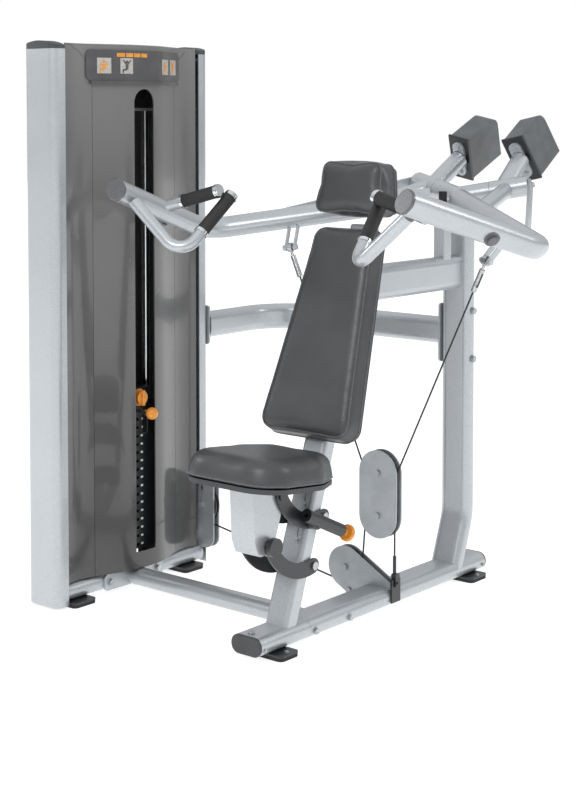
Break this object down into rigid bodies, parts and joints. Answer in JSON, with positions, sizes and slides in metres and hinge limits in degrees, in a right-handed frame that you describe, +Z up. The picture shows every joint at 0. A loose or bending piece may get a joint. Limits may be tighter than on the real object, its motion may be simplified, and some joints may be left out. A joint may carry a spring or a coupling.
{
  "type": "shoulder press machine",
  "caption": "Seated weight-stack shoulder press with two converging counterbalanced arms, cable drive, adjustable seat and a covered stack tower.",
  "frame": {"origin": "on the floor under the centre of the front foot, in the middle plane between the two press arms", "axes": "+Z up, the user faces -Y, the weight tower stands at -X"},
  "size_m": [1.3957, 1.4177, 1.5939],
  "materials": {
    "silver_paint": "satin metallic powder coat",
    "black_paint": "semi-gloss powder coat",
    "cover_plastic": "glossy grey moulded sheet",
    "cap_plastic": "fine grained moulding",
    "vinyl": "grained coated fabric",
    "rubber": "matte",
    "grip_rubber": "ribbed",
    "bright_steel": "polished",
    "zinc_steel": "zinc plated",
    "nylon": "turned",
    "cable_sheath": "extruded nylon over steel strand",
    "orange_plastic": "moulded",
    "plate_iron": "painted",
    "placard_plastic": "printed"
  },
  "bodies": {
    "frame": {"base_beam": "silver_paint", "beam_end_caps": "cap_plastic", "foot_plates": "black_paint", "foot_pads": "rubber", "back_post": "silver_paint", "post_hardware": "zinc_steel", "cross_tube": "silver_paint", "frame_bolts": "zinc_steel", "rear_upright": "silver_paint", "upper_brace": "silver_paint", "rubber_stops": "rubber", "tower_brace": "silver_paint", "pivot_housing": "silver_paint", "pad_boards": "cap_plastic", "backrest_pad": "vinyl", "headrest_pad": "vinyl", "pulley_brackets": "black_paint", "cable_anchor": "black_paint", "cable_risers": "cable_sheath", "drive_cable": "cable_sheath", "stack_cable": "cable_sheath", "tower_frame": "silver_paint", "guide_rods": "bright_steel", "weight_plates": "plate_iron", "side_panels": "silver_paint", "panel_caps": "cap_plastic", "centre_panel": "cover_plastic", "tower_cover": "cover_plastic", "placard": "placard_plastic", "back_cover": "cover_plastic"},
    "arm_right": {"arm_tube_right": "silver_paint", "arm_cap_right": "bright_steel", "hand_grips_right": "grip_rubber", "counter_lever_right": "silver_paint", "counterweight_right": "plate_iron"},
    "arm_left": {"arm_tube_left": "silver_paint", "arm_cap_left": "bright_steel", "hand_grips_left": "grip_rubber", "counter_lever_left": "silver_paint", "counterweight_left": "plate_iron"},
    "floating_block": {"floating_bracket": "black_paint", "arm_cable_loop": "cable_sheath"},
    "upper_pulley": {"floating_pulley_upper": "nylon"},
    "lower_pulley": {"floating_pulley_lower": "nylon"},
    "strand_right": {"arm_cable_right": "cable_sheath"},
    "strand_left": {"arm_cable_left": "cable_sheath"},
    "base_wheel": {"base_pulley": "nylon"},
    "tower_wheel": {"tower_pulley": "nylon"},
    "rear_top_wheel": {"rear_top_pulley": "nylon"},
    "centre_top_wheel": {"centre_top_pulley": "nylon"},
    "stack_head": {"head_plate": "plate_iron", "pin_lanyard": "cable_sheath"},
    "pin": {"selector_pin": "orange_plastic"},
    "dial": {"increment_dial": "orange_plastic"},
    "lower_link": {"seat_link_lower": "black_paint"},
    "upper_link": {"seat_link_upper": "black_paint"},
    "seat": {"seat_carriage": "silver_paint", "seat_board": "cap_plastic", "seat_cushion": "vinyl"},
    "pull_pin": {"seat_pull_pin": "orange_plastic"}
  },
  "joints": [
    {"name": "arm_right_press", "type": "hinge", "parent": "frame", "child": "arm_right", "pos_m": [0.13815, 0.92956, 1.17053], "axis": [-0.921, -0.3504, -0.1702], "range_deg": [0, 42]},
    {"name": "arm_left_press", "type": "hinge", "parent": "frame", "child": "arm_left", "pos_m": [-0.13815, 0.92956, 1.17053], "axis": [-0.921, 0.3504, 0.1702], "range_deg": [0, 42]},
    {"name": "block_lift", "type": "slide", "parent": "frame", "child": "floating_block", "axis": [0, 0, 1], "range_m": [0, 0.3361], "deforming": ["cable_risers"]},
    {"name": "stack_lift", "type": "slide", "parent": "frame", "child": "stack_head", "axis": [0, 0, 1], "range_m": [0, 0.6723], "deforming": ["stack_cable"]},
    {"name": "strand_right_swing", "type": "hinge", "parent": "floating_block", "child": "strand_right", "pos_m": [0.04542, 0.492, 0.3641], "axis": [0.2589, -0.9605, -0.1025], "range_deg": [0, 5.35], "deforming": ["arm_cable_right"]},
    {"name": "strand_left_swing", "type": "hinge", "parent": "floating_block", "child": "strand_left", "pos_m": [-0.04542, 0.492, 0.3641], "axis": [0.2589, 0.9605, 0.1025], "range_deg": [0, 5.35], "deforming": ["arm_cable_left"]},
    {"name": "upper_pulley_spin", "type": "hinge", "parent": "floating_block", "child": "upper_pulley", "pos_m": [0, 0.492, 0.385], "axis": [0, 1, 0], "continuous": true},
    {"name": "lower_pulley_spin", "type": "hinge", "parent": "floating_block", "child": "lower_pulley", "pos_m": [0, 0.492, 0.264], "axis": [0, 1, 0], "range_deg": [0, 387]},
    {"name": "base_pulley_spin", "type": "hinge", "parent": "frame", "child": "base_wheel", "pos_m": [-0.114, 0.492, 0.098], "axis": [0, -1, 0], "range_deg": [0, 771]},
    {"name": "tower_pulley_spin", "type": "hinge", "parent": "frame", "child": "tower_wheel", "pos_m": [-0.672, 0.492, 0.19], "axis": [0, -1, 0], "range_deg": [0, 771]},
    {"name": "rear_top_pulley_spin", "type": "hinge", "parent": "frame", "child": "rear_top_wheel", "pos_m": [-0.722, 0.442, 1.49], "axis": [-1, 0, 0], "range_deg": [0, 771]},
    {"name": "centre_top_pulley_spin", "type": "hinge", "parent": "frame", "child": "centre_top_wheel", "pos_m": [-0.722, 0.248, 1.49], "axis": [-1, 0, 0], "range_deg": [0, 771]},
    {"name": "selector_pin_pull", "type": "slide", "parent": "stack_head", "child": "pin", "axis": [1, 0, 0], "range_m": [0, 0.085]},
    {"name": "increment_dial_turn", "type": "hinge", "parent": "stack_head", "child": "dial", "pos_m": [-0.667, 0.198, 0.5625], "axis": [1, 0, 0], "range_deg": [0, 120]},
    {"name": "seat_height", "type": "hinge", "parent": "frame", "child": "lower_link", "pos_m": [0, 0.136, 0.206], "axis": [-1, 0, 0], "range_deg": [-24, 10]},
    {"name": "seat_upper_link_turn", "type": "hinge", "parent": "frame", "child": "upper_link", "pos_m": [0, 0.17939, 0.32854], "axis": [-1, 0, 0], "range_deg": [-24.5, 10.5]},
    {"name": "seat_level_turn", "type": "hinge", "parent": "lower_link", "child": "seat", "pos_m": [0, -0.038, 0.292], "axis": [-1, 0, 0], "range_deg": [-10.5, 24.5]},
    {"name": "seat_pin_pull", "type": "slide", "parent": "upper_link", "child": "pull_pin", "axis": [0, 0.9052, -0.4249], "range_m": [0, 0.012], "stiffness_N_per_m": 600, "springref_m": -0.01}
  ],
  "couplings": [
    {"joint": "arm_left_press", "follows": "arm_right_press", "ratio": 1},
    {"joint": "block_lift", "follows": "arm_right_press", "m_per_rad": 0.45719},
    {"joint": "stack_lift", "follows": "arm_right_press", "m_per_rad": 0.91438},
    {"joint": "strand_right_swing", "follows": "arm_right_press", "ratio": 0.125},
    {"joint": "strand_left_swing", "follows": "arm_right_press", "ratio": 0.125},
    {"joint": "lower_pulley_spin", "follows": "arm_right_press", "ratio": 9.1438},
    {"joint": "base_pulley_spin", "follows": "arm_right_press", "ratio": 18.288},
    {"joint": "tower_pulley_spin", "follows": "arm_right_press", "ratio": 18.288},
    {"joint": "rear_top_pulley_spin", "follows": "arm_right_press", "ratio": 18.288},
    {"joint": "centre_top_pulley_spin", "follows": "arm_right_press", "ratio": 18.288},
    {"joint": "seat_upper_link_turn", "follows": "seat_height", "ratio": 1},
    {"joint": "seat_level_turn", "follows": "seat_height", "ratio": -1}
  ]
}
